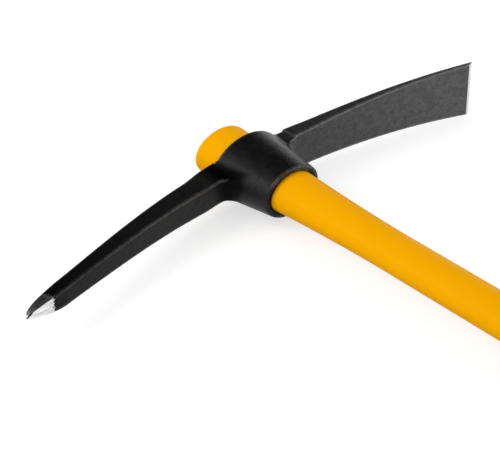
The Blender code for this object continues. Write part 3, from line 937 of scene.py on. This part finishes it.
def head_material():
    """Satin black coating with painted light and shade, lighter along the edges from wear and a painted
    highlight, and bright ground steel at both ends with a painted dark reflection at the point.
    """
    material, tree, shader = new_material("coated_steel")
    place = object_place(tree)
    x, y, _ = split(tree, place)
    mottle = noise(tree, place, MOTTLE_SCALE, detail=4.0, roughness=0.6)
    grain = noise(tree, place, GRAIN_SCALE, detail=3.0, roughness=0.6)
    lines = streaks(tree, place, GRINDING_SCALES, detail=2.0, roughness=0.5)
    coat = coat_shade(tree, place, x, mottle, grain)
    bare = bare_share(tree, place, x, y)
    covered = math_node(tree, "SUBTRACT", 1.0, bare)

    # Painted dark reflection along the end of the point's lower ridge
    on_tip_reflection = vertex_value(tree, "painted_tip_reflection")
    darkened = ramp(tree, on_tip_reflection, 0.0, TIP_REFLECTION_FULL, 1.0, TIP_REFLECTION_STEEL_SHARE)
    steel = times(tree, ramp(tree, lines, *NOISE_SPAN, *STEEL_SHADES), darkened)
    coat_rough = mix_value(tree, mottle, *COAT_ROUGHNESS)
    steel_rough = mix_value(tree, lines, *STEEL_ROUGHNESS)

    forged = times(tree, math_node(tree, "SUBTRACT", mottle, NOISE_MIDDLE), covered)
    sprayed = times(tree, math_node(tree, "SUBTRACT", grain, NOISE_MIDDLE), covered)
    normal = bump(tree, forged, *MOTTLE_BUMP)
    normal = bump(tree, sprayed, *GRAIN_BUMP, normal)
    normal = bump(tree, times(tree, lines, bare), *GRINDING_BUMP, normal)
    connect(tree, shader, {
        "Base Color": mix_value(tree, bare, coat, steel),
        "Metallic": mix_value(tree, bare, COAT_METALLIC, 1.0),
        "Roughness": mix_value(tree, bare, coat_rough, steel_rough),
        "Specular IOR Level": COAT_SPECULAR,
        "Normal": normal,
    })
    return material


def jacket_material():
    """Smooth satin yellow plastic with a faint moulded skin and a few light scuffs."""
    material, tree, shader = new_material("yellow_plastic")
    place = object_place(tree)
    colour = mix_colour(tree, noise(tree, place, YELLOW_CLOUD_SCALE), *YELLOW_SHADES)
    scuffs = streaks(tree, place, SCUFF_SCALES, detail=2.0, roughness=0.5)
    scuffed = times(tree, ramp(tree, scuffs, *SCUFF_SPAN), SCUFF_SHARE)
    moulded = noise(tree, place, YELLOW_SKIN_SCALE, detail=2.0, roughness=0.5)
    connect(tree, shader, {
        "Base Color": mix_colour(tree, scuffed, colour, SCUFF_COLOUR),
        "Roughness": mix_value(tree, moulded, *YELLOW_ROUGHNESS),
        "Specular IOR Level": YELLOW_SPECULAR,
        "Normal": bump(tree, moulded, *YELLOW_BUMP),
    })
    return material


def core_material():
    """Sawn end of a glass fibre rod: pale resin with darker strands."""
    material, tree, shader = new_material("fibreglass")
    across = stretched(tree, object_place(tree), ROD_AXIS_SHARES)
    cells = add(tree, "ShaderNodeTexVoronoi", {"Vector": across, "Scale": STRAND_SCALE})
    strands = cells.outputs["Distance"]
    resin = mix_colour(tree, noise(tree, across, RESIN_CLOUD_SCALE), *RESIN_SHADES)
    connect(tree, shader, {
        "Base Color": mix_colour(tree, ramp(tree, strands, *STRAND_SPAN), resin, STRAND_COLOUR),
        "Roughness": mix_value(tree, strands, *ROD_ROUGHNESS),
        "Normal": bump(tree, strands, *ROD_BUMP),
    })
    return material


def dark_plastic(name, dark, light, rough, grain_scale, grain_height):
    """Black rubber or plastic with a moulded grain, a little dust and paler high spots."""
    material, tree, shader = new_material(name)
    place = object_place(tree)
    grain = noise(tree, place, grain_scale, detail=3.0, roughness=0.6)
    dust = noise(tree, place, DUST_SCALE, detail=4.0, roughness=0.6)
    colour = mix_colour(tree, ramp(tree, dust, *DUST_SPAN), grey(dark), grey(light))
    polish = times(tree, ramp(tree, vertex_value(tree, "edge"), *POLISHED_EDGE_SPAN), POLISH_SHARE)
    connect(tree, shader, {
        "Base Color": mix_colour(tree, polish, colour, grey(light * POLISH_GAIN)),
        "Roughness": mix_value(tree, grain, rough - ROUGHNESS_SPREAD, rough + ROUGHNESS_SPREAD),
        "Normal": bump(tree, grain, grain_height, MOULDED_BUMP_STRENGTH),
    })
    return material


# Pieces

def finish_piece(piece, material, body, node, sharp_angle=None):
    piece.data.materials.clear()
    piece.data.materials.append(material)
    piece.data.shade_smooth()
    if sharp_angle:
        piece.data.set_sharp_from_angle(angle=math.radians(sharp_angle))
    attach(piece, body)
    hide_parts(node)


def make_head():
    shell = rounded_ovals(eye_shell, EYE_FOOT_LEVEL, EYE_FOOT_ROUNDING, 1)[::-1]
    shell += rounded_ovals(eye_shell, EYE_RIM_LEVEL, EYE_RIM_ROUNDING, -1)
    head = skin("head_forging", shell)
    pick = placed_arm_rings(-1, pick_section, PICK_SIDE_STEPS, PICK_FILLETS, pick_stations)
    adze = placed_arm_rings(1, adze_section, ADZE_SIDE_STEPS, ADZE_FILLETS, adze_stations)
    seam = len(pick) - NOSE_STEPS - 1
    join(head, (skin("pick_arm", pick[:seam + 1]), skin("adze_arm", adze)))
    fuse(head, HEAD_VOXEL)
    ends = (EYE_FOOT_LEVEL - EYE_DEPTH / 2, EYE_RIM_LEVEL + EYE_DEPTH / 2)
    bore = skin("eye_bore", [oval(level, bore_section(level)) for level in ends])
    cut_away(head, bore)
    fuse(head, HEAD_VOXEL)
    store(head.data, "edge", convexity(head.data))
    weld_point(head, pick[seam - 1:])
    head.data.name = "head_forging"
    store_head_values(head.data)
    finish_piece(head, head_material(), "head", "pick_head")


def make_jacket():
    rings = rounded_ovals(handle_outside, TOP_LEVEL, HANDLE_TOP_ROUNDING, -1)[::-1]
    neck_end = EYE_FOOT_LEVEL - NECK_LENGTH
    for level in levels_between(EYE_FOOT_LEVEL, neck_end, NECK_STEPS):
        rings.append(oval(level, handle_outside(level)))
    step_level = SLEEVE_START_LEVEL + SEAT_GAP
    rings.append(oval(step_level, handle_outside(step_level)))
    under_sleeve = halves(HANDLE_GRIP_WIDTHS, SLEEVE_PROUD - SLEEVE_WALL - SEAT_GAP)
    rings += [oval(level, under_sleeve) for level in (step_level, SLEEVE_END_LEVEL)]
    rings += [oval(level, halves(CORE_WIDTHS, SEAT_GAP)) for level in (SLEEVE_END_LEVEL, TOP_LEVEL)]
    jacket = skin("jacket_skin", rings, ring_closed=True)
    yellow = jacket_material()
    finish_piece(jacket, yellow, "handle", "handle_jacket", JACKET_SHARP_ANGLE)


def make_sleeve():
    rings = rounded_ovals(sleeve_outside, SLEEVE_START_LEVEL, SLEEVE_ROUNDING, -1)[::-1]
    start = SLEEVE_START_LEVEL - SLEEVE_ROUNDING
    for level in levels_between(start, SLEEVE_END_LEVEL, SLEEVE_STEPS)[1:]:
        rings.append(oval(level, sleeve_outside(level), inset=groove(level)))
    inside = halves(HANDLE_GRIP_WIDTHS, SLEEVE_PROUD - SLEEVE_WALL)
    rings += [oval(level, inside) for level in (SLEEVE_END_LEVEL, SLEEVE_START_LEVEL)]
    sleeve = skin("grip_sleeve_skin", rings, ring_closed=True)
    store(sleeve.data, "edge", convexity(sleeve.data))
    rubber = dark_plastic(
        "black_rubber", dark=0.014, light=0.026, rough=0.72, grain_scale=1400, grain_height=0.0001)
    finish_piece(sleeve, rubber, "handle", "grip_sleeve", SLEEVE_SHARP_ANGLE)


def make_cap():
    socket = halves(CORE_WIDTHS, SEAT_GAP)
    floor = SLEEVE_END_LEVEL - CORE_STUB - SEAT_GAP
    outside = halves(BUTT_WIDTHS)
    rings = [oval(floor, socket), oval(CAP_MOUTH_LEVEL, socket), oval(CAP_MOUTH_LEVEL, outside)]
    rings += rounded_ovals(lambda level: outside, BUTT_LEVEL, CAP_ROUNDING, 1)
    cap = skin("butt_cap_skin", rings)
    store(cap.data, "edge", convexity(cap.data))
    plastic = dark_plastic(
        "black_plastic", dark=0.018, light=0.030, rough=0.5, grain_scale=1100, grain_height=0.00008)
    finish_piece(cap, plastic, "handle", "butt_cap", CAP_SHARP_ANGLE)


def dress_core():
    """The core keeps the CAD's own mesh."""
    core = bpy.data.objects["handle_core"]
    core.data.materials.clear()
    core.data.materials.append(core_material())


# Floor, world, lamps and camera

def seen_by_eye(tree):
    """1 on rays from the camera, from glossy surfaces and through clear ones, and otherwise 0."""
    path = tree.nodes.new("ShaderNodeLightPath")
    glossy = math_node(tree, "MAXIMUM", path.outputs["Is Camera Ray"], path.outputs["Is Glossy Ray"])
    return math_node(tree, "MAXIMUM", glossy, path.outputs["Is Transmission Ray"])


def make_floor():
    """A pale floor that the camera and glossy surfaces see as white, apart from the shadow on it."""
    mesh = bpy.data.meshes.new("floor")
    half, level = FLOOR_HALF_SIZE, CAD_BOX[0][2] - FLOOR_GAP
    corners = [(-half, -half, level), (half, -half, level), (half, half, level), (-half, half, level)]
    mesh.from_pydata(corners, [], [(0, 1, 2, 3)])
    floor = link("floor", mesh)
    material, tree, shader = new_material("pale_floor")
    away = add(tree, "ShaderNodeVectorMath", {0: object_place(tree)}, operation="LENGTH").outputs["Value"]
    glow = ramp(tree, away, *FLOOR_GLOW_FROM_TO, *FLOOR_GLOW)
    connect(tree, shader, {
        "Base Color": grey(FLOOR_SHADE),
        "Roughness": 1.0,
        "Specular IOR Level": 0.0,
        "Emission Color": grey(1.0),
        "Emission Strength": times(tree, seen_by_eye(tree), glow),
    })
    material.cycles.emission_sampling = "NONE"
    mesh.materials.append(material)


def make_world():
    """A white sweep around the horizon under a dim studio ceiling, and even light for matt surfaces."""
    world = bpy.data.worlds.new("studio")
    world.use_nodes = True
    world.cycles.sampling_method = "NONE"
    tree = world.node_tree
    rightward, _, height = split(tree, tree.nodes.new("ShaderNodeTexCoord").outputs["Generated"])
    tilted = math_node(tree, "ADD", height, times(tree, rightward, CEILING_TILT))
    ceiling = ramp(tree, tilted, *CEILING_SPAN, 1.0, CEILING_SHADE)
    path = tree.nodes.new("ShaderNodeLightPath")
    light = mix_value(tree, path.outputs["Is Glossy Ray"], WORLD_LIGHT, ceiling)
    seen = math_node(tree, "MAXIMUM", path.outputs["Is Camera Ray"], path.outputs["Is Transmission Ray"])
    strength = mix_value(tree, seen, light, 1.0)
    connect(tree, tree.nodes["Background"], {"Color": grey(1.0), "Strength": strength})
    bpy.context.scene.world = world


def make_lamp(name, direction, distance, width, level):
    """A soft lamp aimed at the tool. A white card that faces it there is lit to that level."""
    lamp = bpy.data.lights.new(name, "AREA")
    lamp.shape = "DISK"
    lamp.size = width
    lamp.energy = level * (math.pi * distance) ** 2
    holder = bpy.data.objects.new(name, lamp)
    bpy.context.scene.collection.objects.link(holder)
    away = Vector(direction).normalized()
    target = Vector((AXIS_X, ARMS_Y - LAMP_TARGET_DROP, AXIS_Z))
    turn = away.to_track_quat("Z", "Y").to_matrix().to_4x4()
    holder.matrix_world = Matrix.Translation(target + away * distance) @ turn


def make_camera():
    azimuth, elevation, roll = (math.radians(a) for a in (CAMERA_AZIMUTH, CAMERA_ELEVATION, CAMERA_ROLL))
    flat = math.cos(elevation)
    back = Vector((math.sin(azimuth) * flat, -math.cos(azimuth) * flat, math.sin(elevation)))
    level_right = Vector((math.cos(azimuth), math.sin(azimuth), 0))
    level_up = back.cross(level_right)
    right = level_right * math.cos(roll) + level_up * math.sin(roll)
    up = back.cross(right)
    per_pixel = CAMERA_DISTANCE / FOCAL_PIXELS
    aside = (ORIGIN_PIXEL[0] - IMAGE_SIZE[0] / 2) * per_pixel
    above = (IMAGE_SIZE[1] / 2 - ORIGIN_PIXEL[1]) * per_pixel
    place = TOOL_ORIGIN - right * aside - up * above + back * CAMERA_DISTANCE
    data = bpy.data.cameras.new("camera")
    data.sensor_width = SENSOR_WIDTH_MM
    data.lens = FOCAL_PIXELS / IMAGE_SIZE[0] * SENSOR_WIDTH_MM
    camera = bpy.data.objects.new("camera", data)
    camera.matrix_world = Matrix.Translation(place) @ Matrix((right, up, back)).transposed().to_4x4()
    bpy.context.scene.collection.objects.link(camera)
    bpy.context.scene.camera = camera


def main():
    bpy.context.scene.view_settings.view_transform = "Standard"
    make_camera()
    make_head()
    make_jacket()
    make_sleeve()
    make_cap()
    dress_core()
    make_floor()
    make_world()
    for lamp in LAMPS:
        make_lamp(*lamp)


main()
